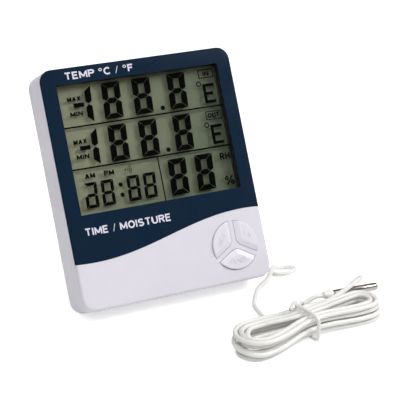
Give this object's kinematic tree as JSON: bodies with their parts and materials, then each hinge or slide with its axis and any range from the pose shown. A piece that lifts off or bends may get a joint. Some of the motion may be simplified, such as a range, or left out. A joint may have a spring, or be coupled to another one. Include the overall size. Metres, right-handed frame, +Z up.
{
  "type": "thermo-hygrometer",
  "caption": "Desk thermo-hygrometer: large segment display, round cluster of keys, fold-out stand, battery bay and an outdoor probe on a tied cord.",
  "frame": {"origin": "middle of the footprint of the leaning case, on the surface it stands on", "axes": "+X to the right of someone who reads the display, +Y to the back, +Z up"},
  "size_m": [0.139, 0.1276, 0.1061],
  "materials": {
    "pale_case": "satin",
    "navy_panel": "gloss",
    "black_plastic": "matte",
    "display_glass": "gloss",
    "reflector_film": "satin",
    "grey_rubber": "matte",
    "board_green": "satin",
    "white_plastic": "matte",
    "cell_wrap": "satin",
    "plated_steel": "satin",
    "brass_contact": "satin",
    "cord_white": "satin",
    "polished_steel": "polished"
  },
  "bodies": {
    "case": {"front_case": "pale_case", "front_panel": "navy_panel", "rear_cover": "pale_case", "case_screws": "plated_steel", "lcd_bezel": "black_plastic", "lcd_front_glass": "display_glass", "lcd_rear_glass": "display_glass", "lcd_reflector": "reflector_film", "lcd_holder": "black_plastic", "contact_strip": "grey_rubber", "circuit_board": "board_green", "board_screws": "plated_steel", "chip_blob": "black_plastic", "quartz_crystal": "plated_steel", "buzzer": "black_plastic", "humidity_sensor": "white_plastic", "room_thermistor": "black_plastic", "rear_switches": "black_plastic", "key_mat": "grey_rubber", "battery_cell": "cell_wrap", "battery_spring": "plated_steel", "battery_contact": "brass_contact", "cord_grommet": "cord_white", "probe_cord": "cord_white", "probe_cord_hank": "cord_white", "probe_cord_end": "cord_white", "cord_tie": "cord_white", "probe_collar": "cord_white", "probe_tube": "polished_steel"},
    "key_left": {"key_left": "pale_case", "rubber_dome_left": "grey_rubber"},
    "key_right": {"key_right": "pale_case", "rubber_dome_right": "grey_rubber"},
    "key_bottom": {"key_bottom": "pale_case", "rubber_dome_bottom": "grey_rubber"},
    "stand": {"stand": "pale_case"},
    "battery_door": {"battery_door": "pale_case"},
    "reset_button": {"reset_button": "grey_rubber"},
    "unit_button": {"unit_button": "grey_rubber"}
  },
  "joints": [
    {"name": "key_left_press", "type": "slide", "parent": "case", "child": "key_left", "axis": [0, 0.8938, -0.4484], "range_m": [0, 0.0008], "stiffness_N_per_m": 250, "springref_m": -0.0003},
    {"name": "key_right_press", "type": "slide", "parent": "case", "child": "key_right", "axis": [0, 0.8938, -0.4484], "range_m": [0, 0.0008], "stiffness_N_per_m": 250, "springref_m": -0.0003},
    {"name": "key_bottom_press", "type": "slide", "parent": "case", "child": "key_bottom", "axis": [0, 0.8938, -0.4484], "range_m": [0, 0.0008], "stiffness_N_per_m": 250, "springref_m": -0.0003},
    {"name": "reset_button_press", "type": "slide", "parent": "case", "child": "reset_button", "axis": [0, -0.8938, 0.4484], "range_m": [0, 0.0008], "stiffness_N_per_m": 150, "springref_m": -0.0002},
    {"name": "unit_button_press", "type": "slide", "parent": "case", "child": "unit_button", "axis": [0, -0.8938, 0.4484], "range_m": [0, 0.0008], "stiffness_N_per_m": 150, "springref_m": -0.0002},
    {"name": "stand_fold", "type": "hinge", "parent": "case", "child": "stand", "pos_m": [0, 0.00885, 0.05192], "axis": [1, 0, 0], "range_deg": [-39.6, 0]},
    {"name": "battery_door_hinge", "type": "hinge", "parent": "case", "child": "battery_door", "pos_m": [-0.0251, 0.01593, 0.06403], "axis": [0, 0.4484, 0.8938], "range_deg": [0, 80]}
  ]
}
